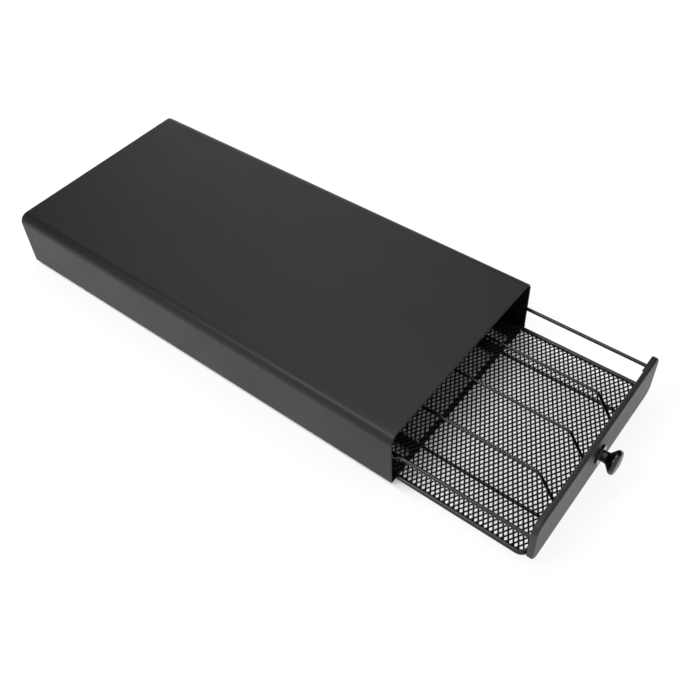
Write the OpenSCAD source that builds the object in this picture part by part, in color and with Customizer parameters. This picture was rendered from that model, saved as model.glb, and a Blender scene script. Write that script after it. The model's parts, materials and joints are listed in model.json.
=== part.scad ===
// Pod drawer: a folded steel case, open at the front, with a sliding wire basket.
// The basket has an expanded-metal floor, four rows for pods, a folded front and a turned knob.
// Millimetres. Z is up and Z = 0 is the table top. X = 0 is the middle of the width.
// The basket slides along Y. It is drawn pulled out by drawer_out, and Y = 0 is then the middle
// of the whole length. Inside the modules, Y counts from the case's front edge.

/* [Case] */
// Outside width of the case
case_w = 230; // [200:1:320]
// Length of the case from its front edge to its back
case_l = 492; // [330:1:560]
// Height of the folded case, without its feet
case_h = 64.5; // [58:0.5:90]
// Outside radius of the two top bends
shoulder_r = 10; // [4:0.5:16]
// Width of a floor flange
flange_w = 22; // [17:0.5:24]
// Width of the slot between a floor flange and its guide strip
slot_w = 16; // [8:0.5:20]
// Width of a guide strip
guide_w = 11.5; // [8:0.5:14]
// Depth of the hem folded back inside the front edge
hem_d = 9; // [4:0.5:20]
// Diameter of a rubber foot
foot_d = 12; // [8:0.5:14]
// Height of a rubber foot
foot_h = 3; // [1:0.5:8]

/* [Drawer] */
// How far the drawer front stands out of the case
drawer_out = 135; // [0:1:300]
// Room between the drawer front and the hem on each side
side_gap = 3.2; // [1:0.1:8]
// Height of the folded drawer front
front_h = 51.7; // [46:0.1:60]
// Corner radius of the drawer front
front_r = 10; // [4:0.5:16]
// Depth of the edges turned back round the drawer front
front_d = 5.8; // [4.5:0.1:8]
// Distance between two dividers, which is one row of pods
row_w = 52.3; // [44:0.1:60]
// Height of the top rail's centre above the case floor
rail_h = 33.2; // [24:0.1:44]
// Diameter of the wire of the bottom frame
frame_d = 4.6; // [4:0.1:6]
// Diameter of the wire of the top rail
rail_d = 3.5; // [2.5:0.1:5]
// Diameter of the wire of the dividers
divider_d = 2.8; // [2:0.1:3.2]
// Diameter of the wire of the runners under the floor
runner_d = 3.3; // [2.8:0.1:4]

/* [Floor mesh] */
// Pitch of the diamonds across the drawer
mesh_long = 20; // [16:0.5:40]
// Pitch of the diamonds along the drawer
mesh_short = 12; // [10:0.1:24]
// Width of one strand
strand_w = 1.6; // [0.8:0.1:2.4]
// Thickness of the mesh
mesh_t = 0.8; // [0.5:0.1:1]

/* [Knob] */
// Diameter of the knob's head
knob_d = 23.2; // [20:0.1:26]
// Distance from the drawer front to the flat of the head
knob_reach = 17.5; // [16:0.5:26]
// Diameter of the knob's neck
neck_d = 10.6; // [8:0.1:12]
// Diameter of the disc at the foot of the knob
base_d = 18.7; // [14:0.1:26]

/* [Hidden] */
$fn = 64;

// Case
sheet_t = 1;
half_w = case_w / 2;
floor_z = foot_h + sheet_t;
case_top = foot_h + case_h;
lower_r = 2;
flange_x = half_w - flange_w;
guide_x = flange_x - slot_w - guide_w;
guide_drop = 3;
guide_bend = 1.5;
strap_w = 5;
strap_y = 0.5;
hem_z = foot_h + 3;
back_flange = 10;
foot_x = half_w - 8;
foot_y = 16.5;
foot_inset = 26.5;

// Drawer, placed from its front face
run_gap = 0.3;
runner_in = 1.5;
end_gap = 5;
weld_gap = 0.2;
face_y = -drawer_out;
front_w = case_w - 4 * sheet_t - 2 * side_gap;
front_z = floor_z + run_gap;
front_t = 1;
front_bend = 2.2;
corner_zone = 27;
edge_step = 1.2;
frame_r = frame_d / 2;
frame_x = front_w / 2 - frame_r;
frame_z = floor_z + run_gap + frame_r;
frame_bend = 7.7;
weld_drop = frame_z - front_z - front_t;
frame_front = face_y + front_d + sqrt(pow(frame_r, 2) - pow(weld_drop, 2));
frame_back = face_y + case_l - sheet_t - end_gap - frame_r;
runner_r = runner_d / 2;
runner_x = guide_x + runner_in + runner_r;
runner_z = floor_z + run_gap + runner_r;
mesh_z = runner_z + runner_r;
mesh_in = sqrt(pow(frame_r, 2) - pow(mesh_z - frame_z, 2));
mesh_rim = 1.2;
rail_r = rail_d / 2;
rail_z = floor_z + rail_h;
rail_x = front_w / 2 - front_t - weld_gap - rail_r;
rail_back = frame_back + frame_r - rail_r;
rail_bend = 10;
post_x = frame_x - 25.5;
divider_z = rail_z + 1.7;
divider_bend = 7;
divider_y = face_y + 29;
leg_y = frame_front + 1.6;
leg_lean = atan2(divider_z - frame_z, divider_y - leg_y);
leg_cut = divider_bend * tan(leg_lean / 2);
bend_swell = 0.02;
bend_lap = 0.05;

// Knob
knob_z = front_z + front_h / 2;
base_t = 2;
base_round = 0.6;
flare_lean = 40;
rim_r = 3.2;
cove_r = 2.5;
dome_h = 1;
screw_d = 4;
screw_hole = 4.4;
screw_depth = 12;
head_d = 8;
head_h = 2.6;
recess_l = 4.6;
recess_w = 1;

// Middle of the whole length, counted from the case's front edge
middle_y = (case_l - drawer_out - knob_reach - dome_h) / 2;

// Puts what is drawn from the case's front edge at its place along Y
module placed() {
    translate([0, -middle_y, 0]) children();
}

// --- Shared shapes ---

// Cross-section of a bend: a quarter ring in the first quadrant
module quarter_ring(outer, thick) {
    difference() {
        circle(outer);
        circle(outer - thick);
        translate([-outer - 1, -outer - 1]) square([2 * outer + 2, outer + 1]);
        translate([-outer - 1, -outer - 1]) square([outer + 1, 2 * outer + 2]);
    }
}

// Rectangle with round corners, centred on X, standing on Y = 0
module round_rect(w, h, r) {
    translate([-w / 2 + r, 0]) square([w - 2 * r, h]);
    translate([-w / 2, r]) square([w, h - 2 * r]);
    for (x = [-1, 1], y = [r, h - r]) translate([x * (w / 2 - r), y]) circle(r);
}

// Extrusion of a section drawn in X and Z, from y0 to y1
module along_y(y0, y1) {
    translate([0, y1, 0]) rotate([90, 0, 0]) linear_extrude(y1 - y0) children();
}

// Straight wire along Y
module wire_y(x, z, d, y0, y1) {
    along_y(y0, y1) translate([x, z]) circle(d / 2);
}

// Straight wire along X
module wire_x(y, z, d, x0, x1) {
    translate([x0, y, z]) rotate([90, 0, 90]) linear_extrude(x1 - x0) circle(d / 2);
}

// Quarter bend of a level wire; the bend's centre is at the origin
module wire_corner(turn, r, d) {
    rotate([0, 0, turn]) rotate_extrude(angle = 90) translate([r, 0]) circle(d / 2);
}

// --- Case ---

// Roof, wall, bends and floor flange on the right half of the case
module wall_section() {
    translate([half_w - shoulder_r, case_top - shoulder_r]) quarter_ring(shoulder_r, sheet_t);
    translate([half_w - sheet_t, foot_h + lower_r])
        square([sheet_t, case_h - lower_r - shoulder_r]);
    translate([half_w - lower_r, foot_h + lower_r]) mirror([0, 1]) quarter_ring(lower_r, sheet_t);
    translate([0, case_top - sheet_t]) square([half_w - shoulder_r, sheet_t]);
    translate([flange_x, foot_h]) square([flange_w - lower_r, sheet_t]);
}

// Second layer of sheet inside the front edge
module hem_section() {
    inner_r = shoulder_r - sheet_t;
    translate([half_w - shoulder_r, case_top - shoulder_r]) quarter_ring(inner_r, sheet_t);
    translate([half_w - 2 * sheet_t, hem_z])
        square([sheet_t, case_top - shoulder_r - hem_z]);
    translate([0, case_top - 2 * sheet_t]) square([half_w - shoulder_r, sheet_t]);
}

// Half round that closes the fold of the hem; its flat side faces +X
module hem_nose() {
    difference() {
        circle(sheet_t);
        translate([0, -2 * sheet_t]) square(4 * sheet_t);
    }
}

// Fold of the hem along the wall, the shoulder and the roof of the right half
module hem_fold() {
    mid = shoulder_r - sheet_t;
    translate([half_w - sheet_t, sheet_t, hem_z]) rotate([0, 0, 90])
        linear_extrude(case_top - shoulder_r - hem_z) hem_nose();
    translate([half_w - shoulder_r, sheet_t, case_top - shoulder_r]) rotate([90, 0, 0])
        rotate_extrude(angle = 90) translate([mid, 0]) rotate(-90) hem_nose();
    translate([0, sheet_t, case_top - sheet_t]) rotate([90, 0, 90])
        linear_extrude(half_w - shoulder_r) hem_nose();
}

module case_half() {
    along_y(sheet_t, case_l) wall_section();
    along_y(0, sheet_t) intersection() {
        wall_section();
        square([half_w, hem_z]);
    }
    along_y(sheet_t, hem_d) hem_section();
    hem_fold();
}

module case_shell() {
    color("#3a3b3d") placed() {
        case_half();
        mirror([1, 0, 0]) case_half();
    }
}

// Rear wall with its top and side edges turned forward inside the case
module back_panel() {
    inner_w = case_w - 2 * sheet_t;
    inner_h = case_top - sheet_t - floor_z;
    inner_r = shoulder_r - sheet_t;
    color("#3a3b3d") placed() {
        along_y(case_l - sheet_t, case_l) back_section(inner_w, inner_h, inner_r);
        along_y(case_l - back_flange, case_l - sheet_t) difference() {
            back_section(inner_w, inner_h, inner_r);
            back_section(inner_w - 2 * sheet_t, inner_h - sheet_t, inner_r - sheet_t);
        }
    }
}

// Outline with two round top corners and square lower corners
module back_section(w, h, r) {
    translate([0, floor_z]) {
        translate([-w / 2, 0]) square([w, h - r]);
        translate([-w / 2 + r, 0]) square([w - 2 * r, h]);
        for (x = [-1, 1]) translate([x * (w / 2 - r), h - r]) circle(r);
    }
}

// Flat bar from one floor flange to the other
module strap(y) {
    color("#2e2f31") placed() translate([-flange_x, y, foot_h])
        cube([2 * flange_x, strap_w, sheet_t]);
}

module front_strap() {
    strap(strap_y);
}

module rear_strap() {
    strap(case_l - strap_y - strap_w);
}

// Strip that carries a runner from strap to strap, its inner edge turned down
module guide() {
    color("#2e2f31") placed() along_y(strap_y + strap_w, case_l - strap_y - strap_w) {
        translate([guide_x + guide_bend, foot_h]) square([guide_w - guide_bend, sheet_t]);
        translate([guide_x + guide_bend, floor_z - guide_bend]) mirror([1, 0])
            quarter_ring(guide_bend, sheet_t);
        translate([guide_x, floor_z - guide_drop]) square([sheet_t, guide_drop - guide_bend]);
    }
}

module guide_left() {
    mirror([1, 0, 0]) guide();
}

module guide_right() {
    guide();
}

// Rubber foot with a slight taper and a round lower edge
module foot(x, y) {
    r = foot_d / 2;
    edge = 0.8;
    color("#1c1c1d") placed() translate([x, y, 0]) rotate_extrude() union() {
        square([r - 0.5 - edge, foot_h]);
        translate([0, edge]) polygon([[0, 0], [r - 0.5, 0], [r, foot_h - edge], [0, foot_h - edge]]);
        intersection() {
            translate([r - 0.5 - edge, edge]) circle(edge);
            square([r, foot_h]);
        }
    }
}

module foot_front_left() {
    foot(-foot_x, foot_y);
}

module foot_front_right() {
    foot(foot_x, foot_y);
}

module foot_rear_left() {
    foot(-foot_x, case_l - foot_inset);
}

module foot_rear_right() {
    foot(foot_x, case_l - foot_inset);
}

// --- Drawer front ---

// Section of a turned edge: X outward, Y backward from the face, of a given depth
module edge_section(depth) {
    translate([0, front_bend]) mirror([0, 1]) quarter_ring(front_bend, front_t);
    translate([front_bend - front_t, front_bend]) square([front_t, depth - front_bend]);
}

// Straight turned edge of a given length, centred, turned out along +X
module edge_run(length, depth) {
    translate([0, length / 2, 0]) rotate([90, 0, 0]) linear_extrude(length) edge_section(depth);
}

// Turned edge round one corner
module edge_corner(r) {
    rotate_extrude(angle = 90) translate([r, 0]) edge_section(front_d);
}

// The folded front lying face down, centred on the origin
module folded_front() {
    w = front_w - 2 * front_bend;
    h = front_h - 2 * front_bend;
    r = front_r - front_bend;
    side_run = h - 2 * r;
    top_run = w - 2 * r;
    mid_run = front_w - 2 * corner_zone;
    end_run = (top_run - mid_run) / 2;
    linear_extrude(front_t) translate([0, -h / 2]) round_rect(w, h, r);
    for (s = [-1, 1]) {
        translate([s * w / 2, 0, 0]) rotate([0, 0, s > 0 ? 0 : 180]) edge_run(side_run, front_d);
        translate([0, s * h / 2, 0]) rotate([0, 0, s * 90]) {
            edge_run(mid_run, front_d - edge_step);
            for (e = [-1, 1]) translate([0, e * (mid_run + end_run) / 2, 0])
                edge_run(end_run, front_d);
        }
    }
    for (q = [0 : 3]) {
        sx = (q == 0 || q == 3) ? 1 : -1;
        sy = q < 2 ? 1 : -1;
        translate([sx * (w / 2 - r), sy * (h / 2 - r), 0]) rotate([0, 0, 90 * q]) edge_corner(r);
    }
}

module front_panel() {
    color("#6b6c6f") placed() difference() {
        translate([0, face_y, knob_z]) rotate([-90, 0, 0]) folded_front();
        along_y(face_y - 1, face_y + front_t + 1) translate([0, knob_z]) circle(screw_hole / 2);
    }
}

// --- Basket ---

// Closed loop of wire with round corners
module bottom_frame() {
    r = frame_bend;
    x = frame_x;
    color("#303133") placed() {
        for (s = [-1, 1]) wire_y(s * x, frame_z, frame_d, frame_front + r, frame_back - r);
        for (y = [frame_front, frame_back]) wire_x(y, frame_z, frame_d, -x + r, x - r);
        translate([x - r, frame_back - r, frame_z]) wire_corner(0, r, frame_d);
        translate([-x + r, frame_back - r, frame_z]) wire_corner(90, r, frame_d);
        translate([-x + r, frame_front + r, frame_z]) wire_corner(180, r, frame_d);
        translate([x - r, frame_front + r, frame_z]) wire_corner(270, r, frame_d);
    }
}

// Diamond openings of the expanded sheet, in staggered rows, over w by l
module diamonds(w, l) {
    lean = sqrt(pow(mesh_long, 2) + pow(mesh_short, 2));
    a = mesh_long / 2 - strand_w * lean / (2 * mesh_short);
    b = mesh_short / 2 - strand_w * lean / (2 * mesh_long);
    nx = ceil(w / mesh_long / 2) + 1;
    ny = ceil(l / mesh_short / 2) + 1;
    for (j = [-2 * ny : 2 * ny], i = [-nx : nx]) {
        x = (i + (j % 2 == 0 ? 0 : 0.5)) * mesh_long;
        y = j * mesh_short / 2;
        if (abs(x) < w / 2 - a / 2 && abs(y) < l / 2 - b / 2)
            translate([x, y]) polygon([[a, 0], [0, b], [-a, 0], [0, -b]]);
    }
}

// Expanded-metal floor, welded inside the bottom frame
module mesh_floor() {
    w = 2 * (frame_x - mesh_in);
    l = frame_back - frame_front - 2 * mesh_in;
    r = frame_bend - mesh_in;
    color("#262628") placed() translate([0, frame_front + mesh_in, mesh_z]) linear_extrude(mesh_t)
        difference() {
            round_rect(w, l, r);
            intersection() {
                translate([0, l / 2]) diamonds(w, l);
                translate([0, mesh_rim]) round_rect(w - 2 * mesh_rim, l - 2 * mesh_rim, r - mesh_rim);
            }
        }
}

// Wire round the sides and the back of the basket, open at the drawer front
module top_rail() {
    x = rail_x;
    r = rail_bend;
    color("#3a3b3d") placed() {
        for (s = [-1, 1]) wire_y(s * x, rail_z, rail_d, face_y + front_t, rail_back - r);
        wire_x(rail_back, rail_z, rail_d, -x + r, x - r);
        translate([x - r, rail_back - r, rail_z]) wire_corner(0, r, rail_d);
        translate([-x + r, rail_back - r, rail_z]) wire_corner(90, r, rail_d);
    }
}

// Upright between the frame and the rail at the back of the basket
module post(x) {
    color("#3a3b3d") placed() difference() {
        translate([x, frame_back, frame_z]) cylinder(d = rail_d, h = rail_z - frame_z);
        wire_x(frame_back, frame_z, frame_d, x - 5, x + 5);
        wire_x(rail_back, rail_z, rail_d, x - 5, x + 5);
    }
}

module post_left() {
    post(-post_x);
}

module post_right() {
    post(post_x);
}

// Front end of a divider: the leg that stands on the frame, and its bend.
// A bend swells a little as the wire is bent, so the straight wires end inside it.
module divider_end() {
    leg = (divider_z - frame_z) / sin(leg_lean) - leg_cut;
    translate([0, leg_y, frame_z]) rotate([leg_lean - 90, 0, 0])
        cylinder(d = divider_d, h = leg + bend_lap);
    translate([0, divider_y + leg_cut, divider_z - divider_bend]) rotate([0, 90, 0])
        rotate([0, 0, 180]) rotate_extrude(angle = leg_lean) translate([divider_bend, 0])
            circle((divider_d + bend_swell) / 2);
}

// Divider wire between two rows, standing on the frame at both ends
module divider(x) {
    ends = frame_front + frame_back;
    straight = divider_y + leg_cut - bend_lap;
    color("#3a3b3d") placed() translate([x, 0, 0]) difference() {
        union() {
            divider_end();
            translate([0, ends, 0]) mirror([0, 1, 0]) divider_end();
            wire_y(0, divider_z, divider_d, straight, ends - straight);
        }
        wire_x(frame_front, frame_z, frame_d, -5, 5);
        wire_x(frame_back, frame_z, frame_d, -5, 5);
        translate([-5, frame_front + mesh_in, floor_z])
            cube([10, frame_back - frame_front - 2 * mesh_in, mesh_z + mesh_t - floor_z]);
    }
}

module divider_left() {
    divider(-row_w);
}

module divider_centre() {
    divider(0);
}

module divider_right() {
    divider(row_w);
}

// Runner under the mesh; it slides on a guide strip
module runner(x) {
    color("#232325") placed() difference() {
        wire_y(x, runner_z, runner_d, frame_front, frame_back);
        wire_x(frame_front, frame_z, frame_d, x - 5, x + 5);
        wire_x(frame_back, frame_z, frame_d, x - 5, x + 5);
    }
}

module runner_left() {
    runner(-runner_x);
}

module runner_right() {
    runner(runner_x);
}

// --- Knob ---

// Turned shape about the knob's axis; X is the radius and Y the distance off the drawer front
module turned() {
    translate([0, face_y, knob_z]) rotate([90, 0, 0]) rotate_extrude() children();
}

module knob_base() {
    r = base_d / 2;
    color("#161617") placed() turned() difference() {
        union() {
            square([r, base_t - base_round]);
            square([r - base_round, base_t]);
            translate([r - base_round, base_t - base_round]) circle(base_round);
        }
        square([screw_hole / 2, 2 * base_t]);
    }
}

// Half profile of the knob: neck, cove, flare, thick round rim and a face that swells a little
module knob_profile() {
    neck_r = neck_d / 2;
    rim_x = knob_d / 2 - rim_r;
    rim_y = knob_reach - rim_r;
    cone_x = rim_x + rim_r * sin(flare_lean);
    cone_y = rim_y - rim_r * cos(flare_lean);
    flare_y = cone_y - (cone_x - neck_r) * tan(flare_lean);
    cove_x = neck_r + cove_r;
    cove_y = flare_y - cove_r * tan((90 - flare_lean) / 2);
    dome_r = (rim_x * rim_x + dome_h * dome_h) / (2 * dome_h);
    difference() {
        polygon([[0, base_t], [neck_r, base_t], [neck_r, cove_y], [cove_x, cove_y],
            [cove_x - cove_r * sin(flare_lean), cove_y + cove_r * cos(flare_lean)],
            [cone_x, cone_y], [rim_x, rim_y], [0, rim_y]]);
        translate([cove_x, cove_y]) circle(cove_r);
    }
    translate([0, rim_y]) square([rim_x, rim_r]);
    translate([rim_x, rim_y]) circle(rim_r);
    intersection() {
        translate([0, knob_reach + dome_h - dome_r]) circle(dome_r);
        translate([0, knob_reach - 0.1]) square([rim_x, dome_h + 0.1]);
    }
}

module knob() {
    color("#161617") placed() turned() difference() {
        knob_profile();
        square([screw_d / 2, screw_depth]);
    }
}

// Screw through the drawer front into the knob, its head behind the front
module knob_screw() {
    head_r = head_d / 2;
    color("#8d8e90") placed() translate([0, face_y, knob_z]) rotate([90, 0, 0]) difference() {
        union() {
            translate([0, 0, -front_t]) cylinder(d = screw_d, h = screw_depth + front_t);
            translate([0, 0, -front_t]) mirror([0, 0, 1]) rotate_extrude() intersection() {
                translate([0, head_h - 2 * head_r]) circle(2 * head_r);
                square([head_r, head_h]);
            }
        }
        for (a = [0, 90]) rotate([0, 0, a]) translate([-recess_l / 2, -recess_w / 2, -9])
            cube([recess_l, recess_w, 9 - front_t - 1]);
    }
}

case_shell();
back_panel();
front_strap();
rear_strap();
guide_left();
guide_right();
foot_front_left();
foot_front_right();
foot_rear_left();
foot_rear_right();
front_panel();
bottom_frame();
mesh_floor();
top_rail();
post_left();
post_right();
divider_left();
divider_centre();
divider_right();
runner_left();
runner_right();
knob_base();
knob();
knob_screw();
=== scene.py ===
import json
import math

import bmesh
import bpy
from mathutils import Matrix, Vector


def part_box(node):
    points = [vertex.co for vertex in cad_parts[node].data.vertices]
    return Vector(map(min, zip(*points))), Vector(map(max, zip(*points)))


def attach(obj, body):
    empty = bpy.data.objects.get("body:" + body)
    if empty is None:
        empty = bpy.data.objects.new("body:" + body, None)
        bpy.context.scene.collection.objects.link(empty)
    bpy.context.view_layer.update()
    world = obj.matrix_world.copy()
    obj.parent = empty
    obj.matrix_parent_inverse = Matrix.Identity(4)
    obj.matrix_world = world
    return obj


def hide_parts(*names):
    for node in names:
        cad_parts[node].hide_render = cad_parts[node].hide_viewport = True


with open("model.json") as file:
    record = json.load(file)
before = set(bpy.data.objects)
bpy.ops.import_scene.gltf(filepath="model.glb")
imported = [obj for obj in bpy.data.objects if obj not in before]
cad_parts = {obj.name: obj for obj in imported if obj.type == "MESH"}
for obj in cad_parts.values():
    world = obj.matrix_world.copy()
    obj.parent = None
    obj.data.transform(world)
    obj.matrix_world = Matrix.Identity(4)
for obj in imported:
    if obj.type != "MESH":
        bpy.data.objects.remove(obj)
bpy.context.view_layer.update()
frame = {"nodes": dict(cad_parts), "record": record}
nodes = frame["nodes"]
scene = bpy.context.scene

MM = 0.001


# ---------------------------------------------------------------- shader helpers

NOISE_RANGE = (0.3, 0.7)      # a noise texture seldom leaves this range


def principled(name, rgb, rough, specular=0.5, metallic=0.0):
    """A new material, with its node tree and its shader."""
    material = bpy.data.materials.new(name)
    material.use_nodes = True
    tree = material.node_tree
    shader = tree.nodes["Principled BSDF"]
    shader.inputs["Base Color"].default_value = (*rgb, 1)
    shader.inputs["Roughness"].default_value = rough
    shader.inputs["Metallic"].default_value = metallic
    shader.inputs["Specular IOR Level"].default_value = specular
    return material, tree, shader


def feed(tree, socket, value):
    """Link the value to the socket where it is one itself, or else write it there."""
    if isinstance(value, bpy.types.NodeSocket):
        tree.links.new(value, socket)
    else:
        socket.default_value = value


def object_coords(tree):
    return tree.nodes.new("ShaderNodeTexCoord").outputs["Object"]


def noise(tree, coords, scale, detail, roughness=0.5):
    node = tree.nodes.new("ShaderNodeTexNoise")
    node.inputs["Scale"].default_value = scale
    node.inputs["Detail"].default_value = detail
    node.inputs["Roughness"].default_value = roughness
    tree.links.new(coords, node.inputs["Vector"])
    return node.outputs["Fac"]


def remap(tree, value, at_start, at_end, start=NOISE_RANGE[0], end=NOISE_RANGE[1]):
    """Turn a value that runs from start to end into one that runs from at_start to at_end."""
    node = tree.nodes.new("ShaderNodeMapRange")
    node.inputs["From Min"].default_value = start
    node.inputs["From Max"].default_value = end
    node.inputs["To Min"].default_value = at_start
    node.inputs["To Max"].default_value = at_end
    tree.links.new(value, node.inputs["Value"])
    return node.outputs["Result"]


def mix_colour(tree, share, first, second, blend="MIX"):
    """Mix two colours, each a socket or an RGB triple."""
    node = tree.nodes.new("ShaderNodeMix")
    node.data_type = "RGBA"
    node.blend_type = blend
    feed(tree, node.inputs["Factor"], share)
    for socket, colour in (("A", first), ("B", second)):
        feed(tree, node.inputs[socket], colour if isinstance(colour, bpy.types.NodeSocket) else (*colour, 1))
    return node.outputs["Result"]


def calculate(tree, operation, first, second):
    """One step of arithmetic on two sockets or numbers."""
    node = tree.nodes.new("ShaderNodeMath")
    node.operation = operation
    feed(tree, node.inputs[0], first)
    feed(tree, node.inputs[1], second)
    return node.outputs["Value"]


# ---------------------------------------------------------------- powder coat and its kin

TONE_SCALE, TONE_DETAIL = 9.0, 3.0        # slow changes of tone
GLOSS_SCALE, GLOSS_DETAIL = 22.0, 4.0     # slow changes of gloss
GLOSS_SPREAD = 0.03                       # how far the roughness goes to each side of its mean
GRAIN_DETAIL, GRAIN_ROUGHNESS = 3.0, 0.6
FLECK_SHARE = 0.35                        # how far the grain darkens the colour
FLECK_DARKEST = 0.75                      # level of the darkest flecks
PEEL_STRENGTH = 0.35                      # bump of the orange peel
WORN_REACH = 0.6 * MM                     # how far wear reaches from an edge
BEVEL_SAMPLES = 4
FULL_WEAR = 0.75                          # cosine from face to rounded edge at which wear is full


def flecks(tree, grain):
    """A multiplier for the colour: white, and a little darker in the hollows of the grain."""
    ramp = tree.nodes.new("ShaderNodeValToRGB")
    dark, light = ramp.color_ramp.elements
    dark.position, light.position = NOISE_RANGE
    dark.color = (FLECK_DARKEST, FLECK_DARKEST, FLECK_DARKEST, 1)
    tree.links.new(grain, ramp.inputs["Fac"])
    return ramp.outputs["Color"]


def edge_mask(tree):
    """0 on flat metal, towards 1 along an edge or fold."""
    bevel = tree.nodes.new("ShaderNodeBevel")
    bevel.samples = BEVEL_SAMPLES
    bevel.inputs["Radius"].default_value = WORN_REACH
    geometry = tree.nodes.new("ShaderNodeNewGeometry")
    cosine = tree.nodes.new("ShaderNodeVectorMath")
    cosine.operation = "DOT_PRODUCT"
    tree.links.new(bevel.outputs["Normal"], cosine.inputs[0])
    tree.links.new(geometry.outputs["Normal"], cosine.inputs[1])
    return remap(tree, cosine.outputs["Value"], 1.0, 0.0, FULL_WEAR, 1.0)


def powder_coat(name, rgb, rough, grain=1500.0, height=0.02 * MM, spread=0.12, wear=0.0, specular=0.5,
                metallic=0.0):
    """Powder coat: fine orange peel, slow changes of tone and gloss, and edges that wear makes lighter."""
    material, tree, shader = principled(name, rgb, rough, specular, metallic)
    coords = object_coords(tree)
    fine = noise(tree, coords, grain, GRAIN_DETAIL, GRAIN_ROUGHNESS)
    darker = [level * (1 - spread) for level in rgb]
    lighter = [level * (1 + spread) for level in rgb]
    tone = mix_colour(tree, noise(tree, coords, TONE_SCALE, TONE_DETAIL), darker, lighter)
    colour = mix_colour(tree, FLECK_SHARE, tone, flecks(tree, fine), "MULTIPLY")
    if wear > 0:
        colour = mix_colour(tree, edge_mask(tree), colour, [level + wear for level in rgb])
    tree.links.new(colour, shader.inputs["Base Color"])
    gloss = noise(tree, coords, GLOSS_SCALE, GLOSS_DETAIL)
    roughness = remap(tree, gloss, rough - GLOSS_SPREAD, rough + GLOSS_SPREAD)
    tree.links.new(roughness, shader.inputs["Roughness"])
    peel = tree.nodes.new("ShaderNodeBump")
    peel.inputs["Strength"].default_value = PEEL_STRENGTH
    peel.inputs["Distance"].default_value = height
    tree.links.new(fine, peel.inputs["Height"])
    tree.links.new(peel.outputs["Normal"], shader.inputs["Normal"])
    return material


SLOTS = {
    "case_coat": powder_coat("case_coat", (0.004, 0.004, 0.0042), 0.44, specular=0.41, wear=0.004),
    "front_coat": powder_coat("front_coat", (0.005, 0.005, 0.0052), 0.46, wear=0.006),
    "wire_coat": powder_coat("wire_coat", (0.003, 0.003, 0.0031), 0.26, grain=2200.0, spread=0.2,
                             specular=0.46),
    "mesh_coat": powder_coat("mesh_coat", (0.002, 0.002, 0.0021), 0.4, grain=2600.0, spread=0.25,
                             specular=0.2),
    "foot_rubber": powder_coat("foot_rubber", (0.012, 0.012, 0.012), 0.75, grain=3000.0, spread=0.2,
                               height=0.04 * MM),
    "knob_coat": powder_coat("knob_coat", (0.003, 0.003, 0.0032), 0.1, grain=700.0, spread=0.2,
                             height=0.004 * MM),
    "screw_steel": powder_coat("screw_steel", (0.42, 0.42, 0.43), 0.35, grain=2400.0, spread=0.1,
                               metallic=1.0),
}

for subpart in frame["record"]["subparts"]:
    slots = nodes[subpart["node"]].data.materials
    slots.clear()
    slots.append(SLOTS[subpart["material_slot"]])


# ---------------------------------------------------------------- mesh helpers

def new_object(name, bm):
    """An object in the scene with the mesh of bm, which it uses up."""
    mesh = bpy.data.meshes.new(name)
    bmesh.ops.recalc_face_normals(bm, faces=bm.faces)
    bm.to_mesh(mesh)
    bm.free()
    obj = bpy.data.objects.new(name, mesh)
    scene.collection.objects.link(obj)
    return obj


def finish_piece(obj, body, slot, replaced_node):
    """Give a piece its finish, let it ride on the body and stand for the CAD node."""
    obj.data.materials.append(SLOTS[slot])
    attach(obj, body)
    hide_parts(replaced_node)


# ---------------------------------------------------------------- expanded-metal floor, in mm

LONG_PITCH, SHORT_PITCH = 8.0, 4.8        # pitch of the diamonds across and along the drawer
STRAND_WIDTH, STRAND_THICK = 1.5, 0.55
STRAND_TWIST = math.radians(24)
STRAND_LAP = 0.25                         # how far strands run into each other where they meet
WIRE_LAP = 0.3                            # how far they run into the wire round the floor
CORNER_RADIUS = 5.2
SMALLEST_SHARE = 0.04                     # a strand cut to less of its length than this is left out
SPARE_ROWS = 3                            # rows laid past the rim, which clips them


def clipped(start, end, low, high):
    """The part of a slanting strand that lies inside the rectangle low-high, or None."""
    first, last = 0.0, 1.0
    for axis in (0, 1):
        length = end[axis] - start[axis]
        to_low = (low[axis] - start[axis]) / length
        to_high = (high[axis] - start[axis]) / length
        first = max(first, min(to_low, to_high))
        last = min(last, max(to_low, to_high))
    if last - first < SMALLEST_SHARE:
        return None
    return start.lerp(end, first), start.lerp(end, last)


def add_strand(bm, start, end, twist, low_z, high_z):
    """A flat twisted strip from start to end, kept between the two faces of the sheet."""
    along = (end - start).normalized()
    across = Vector((-along.y, along.x))
    half_width, half_thick = STRAND_WIDTH / 2, STRAND_THICK / 2
    rings = []
    for spot, lap in ((start, -STRAND_LAP), (end, STRAND_LAP)):
        ring = []
        for width, thick in ((-half_width, -half_thick), (half_width, -half_thick),
                             (half_width, half_thick), (-half_width, half_thick)):
            side = width * math.cos(twist) - thick * math.sin(twist)
            rise = width * math.sin(twist) + thick * math.cos(twist)
            x, y = spot + along * lap + across * side
            z = max(low_z, min(high_z, (low_z + high_z) / 2 + rise))
            ring.append(bm.verts.new(Vector((x, y, z)) * MM))
        rings.append(ring)
    near, far = rings
    bm.faces.new(near[::-1])
    bm.faces.new(far)
    for k in range(4):
        after = (k + 1) % 4
        bm.faces.new((near[k], near[after], far[after], far[k]))


def past_round_corner(spot, half):
    """Whether a spot, seen from the middle of a rectangle, lies outside its round corners."""
    into_x = abs(spot.x) - (half.x - CORNER_RADIUS)
    into_y = abs(spot.y) - (half.y - CORNER_RADIUS)
    return min(into_x, into_y) > 0 and math.hypot(into_x, into_y) > CORNER_RADIUS


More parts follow.
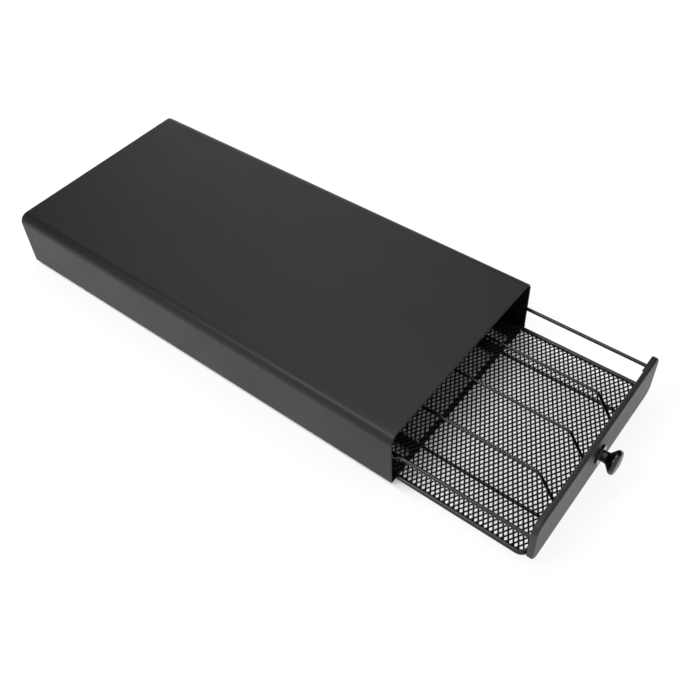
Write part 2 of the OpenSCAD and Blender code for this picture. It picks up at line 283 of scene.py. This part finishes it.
def expanded_mesh():
    """The floor's diamonds at their real pitch: two strands rise from each knot, one to each side."""
    low, high = (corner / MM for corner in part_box("mesh_floor"))
    lap = Vector((WIRE_LAP, WIRE_LAP))
    low_corner, high_corner = low.xy - lap, high.xy + lap
    middle = (low_corner + high_corner) / 2
    half = (high_corner - low_corner) / 2
    columns = int(half.x / LONG_PITCH) + SPARE_ROWS
    rows = 2 * (int(half.y / SHORT_PITCH) + SPARE_ROWS)
    bm = bmesh.new()
    for row in range(-rows, rows + 1):
        for column in range(-columns, columns + 1):
            knot = Vector(((column + row % 2 / 2) * LONG_PITCH, middle.y + row * SHORT_PITCH / 2))
            for side in (-1, 1):
                next_knot = knot + Vector((side * LONG_PITCH / 2, SHORT_PITCH / 2))
                strand = clipped(knot, next_knot, low_corner, high_corner)
                if strand is None:
                    continue
                if not past_round_corner((strand[0] + strand[1]) / 2 - middle, half):
                    add_strand(bm, *strand, side * STRAND_TWIST, low.z, high.z)
    return new_object("floor_strands", bm)


finish_piece(expanded_mesh(), "drawer", "mesh_coat", "mesh_floor")


# ---------------------------------------------------------------- smooth shading of the CAD nodes

WIRES = ("bottom_frame", "top_rail", "divider", "runner", "post")
WIRE_CREASE, SHEET_CREASE = math.radians(50), math.radians(32)

for name, obj in nodes.items():
    obj.data.polygons.foreach_set("use_smooth", [True] * len(obj.data.polygons))
    obj.data.set_sharp_from_angle(angle=WIRE_CREASE if name.startswith(WIRES) else SHEET_CREASE)


# ---------------------------------------------------------------- studio

TENT = 0.97                       # level of the white tent all round
PAPER = (0.9, 0.9, 0.9)           # the paper as it lights the object
PAPER_SEEN = (0.98, 0.98, 0.98)   # the paper as it is seen directly or in a reflection
PAPER_ROUGH, PAPER_SPECULAR = 0.7, 0.2
LIFT = 0.86                       # how far the seen paper is lifted towards plain white
BASKET_SHADE = 0.33               # how much less it is lifted under the basket
WALL_FADE = 2 * MM                # where the lift fades: under the case's walls,
MOUTH_FADE = (-30 * MM, 10 * MM)  # from before its mouth to inside it,
BASKET_FADE = 14 * MM             # and round the basket
FLOOR_HALF = 6.0                  # half the side of the square floor, in metres
FLAG_DISTANCE = 8.0               # m from the object
LAMP_DISTANCE = 3.0               # m from the object
FLAG_SEGMENTS = 64


def sky_point(azimuth, elevation, distance):
    """A point in that direction from the object, in degrees; the azimuth turns from +Y towards +X."""
    turn, rise = math.radians(azimuth), math.radians(elevation)
    level = math.cos(rise)
    return distance * Vector((math.sin(turn) * level, math.cos(turn) * level, math.sin(rise)))


def face_object(obj, at):
    """Set a flag or lamp at that point, turned to the object."""
    obj.location = at
    obj.rotation_euler = at.to_track_quat("Z", "Y").to_euler()


def white_paper(name, case_box, front_box):
    """White paper. Where it is seen it is lifted towards plain white, except under the case, where it keeps
    the whole of the case's shadow, and less under the basket, where it keeps part of the basket's."""
    low, high = case_box
    _, front_high = front_box
    material, tree, shader = principled(name, PAPER, PAPER_ROUGH, PAPER_SPECULAR)
    place = tree.nodes.new("ShaderNodeSeparateXYZ")
    tree.links.new(object_coords(tree), place.inputs["Vector"])
    x_off = calculate(tree, "ABSOLUTE", place.outputs["X"], 0.0)
    y = place.outputs["Y"]

    beside = remap(tree, x_off, 0.0, 1.0, high.x - WALL_FADE, high.x)
    before = remap(tree, y, 1.0, 0.0, low.y + MOUTH_FADE[0], low.y + MOUTH_FADE[1])
    behind = remap(tree, y, 0.0, 1.0, high.y - WALL_FADE, high.y)
    clear_of_case = calculate(tree, "MAXIMUM", beside, calculate(tree, "MAXIMUM", before, behind))
    under_width = remap(tree, x_off, BASKET_SHADE, 0.0, front_high.x - BASKET_FADE, front_high.x)
    behind_front = remap(tree, y, 0.0, 1.0, front_high.y, front_high.y + BASKET_FADE)
    basket_shade = calculate(tree, "MULTIPLY", under_width, behind_front)

    rays = tree.nodes.new("ShaderNodeLightPath").outputs
    mirrored = calculate(tree, "ADD", rays["Is Glossy Ray"], rays["Is Transmission Ray"])
    seen = calculate(tree, "ADD", rays["Is Camera Ray"], mirrored)
    tree.links.new(mix_colour(tree, seen, PAPER, PAPER_SEEN), shader.inputs["Base Color"])
    lift = calculate(tree, "MULTIPLY", calculate(tree, "MULTIPLY", clear_of_case, seen),
                     calculate(tree, "SUBTRACT", LIFT, basket_shade))

    white = tree.nodes.new("ShaderNodeEmission")
    blend = tree.nodes.new("ShaderNodeMixShader")
    tree.links.new(lift, blend.inputs["Fac"])
    tree.links.new(shader.outputs["BSDF"], blend.inputs[1])
    tree.links.new(white.outputs["Emission"], blend.inputs[2])
    tree.links.new(blend.outputs["Shader"], tree.nodes["Material Output"].inputs["Surface"])
    return material


def studio_floor():
    bm = bmesh.new()
    bmesh.ops.create_grid(bm, x_segments=1, y_segments=1, size=FLOOR_HALF)
    floor = new_object("studio_floor", bm)
    floor.data.materials.append(white_paper("studio_floor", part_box("case_shell"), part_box("front_panel")))


def black_flag(name, coat, azimuth, elevation, spread):
    """A round black flag that takes a cone of the tent out of the reflections; spread is its half angle."""
    bm = bmesh.new()
    radius = FLAG_DISTANCE * math.tan(math.radians(spread))
    bmesh.ops.create_circle(bm, cap_ends=True, segments=FLAG_SEGMENTS, radius=radius)
    flag = new_object(name, bm)
    flag.data.materials.append(coat)
    face_object(flag, sky_point(azimuth, elevation, FLAG_DISTANCE))
    flag.visible_camera = False
    flag.visible_diffuse = False


def white_tent():
    world = bpy.data.worlds.new("studio")
    scene.world = world
    world.use_nodes = True
    background = world.node_tree.nodes["Background"]
    background.inputs["Color"].default_value = (1, 1, 1, 1)
    background.inputs["Strength"].default_value = TENT


def lamp(name, azimuth, elevation, size, power):
    """A small round softbox aimed at the object."""
    light = bpy.data.lights.new(name, "AREA")
    light.shape = "DISK"
    light.size = size
    light.energy = power
    obj = bpy.data.objects.new(name, light)
    scene.collection.objects.link(obj)
    face_object(obj, sky_point(azimuth, elevation, LAMP_DISTANCE))


studio_floor()
flag_coat, _, _ = principled("black_flag", (0.03, 0.03, 0.03), 0.9, 0.1)
black_flag("back_flag", flag_coat, azimuth=-8, elevation=20, spread=36)
black_flag("right_flag", flag_coat, azimuth=105, elevation=18, spread=38)
white_tent()
lamp("key_lamp", azimuth=-60, elevation=55, size=0.6, power=21)
lamp("high_lamp", azimuth=60, elevation=76, size=0.5, power=8)

scene.view_settings.view_transform = "Standard"


# ---------------------------------------------------------------- camera, fitted to the photo

CAMERA_PLACE = Vector((-453.097, -417.128, 663.028)) * MM
CAMERA_PITCH, CAMERA_ROLL, CAMERA_TURN = 43.66939, 2.65139, -51.80661     # degrees about X, Y and Z
CAMERA_FOCAL = 46.4428            # mm, on a sensor 36 mm wide
CAMERA_SENSOR = 36
PHOTO_WIDTH = 680                 # px
AXIS_ABOVE_MIDDLE = 30            # px from the photo's middle up to the lens axis
CLIP_NEAR, CLIP_FAR = 0.01, 100   # m

cam_data = bpy.data.cameras.new("camera")
cam_data.sensor_width = CAMERA_SENSOR
cam_data.lens = CAMERA_FOCAL
cam_data.shift_y = -AXIS_ABOVE_MIDDLE / PHOTO_WIDTH
cam_data.clip_start = CLIP_NEAR
cam_data.clip_end = CLIP_FAR
cam = bpy.data.objects.new("camera", cam_data)
scene.collection.objects.link(cam)
cam.location = CAMERA_PLACE
cam.rotation_euler = [math.radians(angle) for angle in (CAMERA_PITCH, CAMERA_ROLL, CAMERA_TURN)]
scene.camera = cam
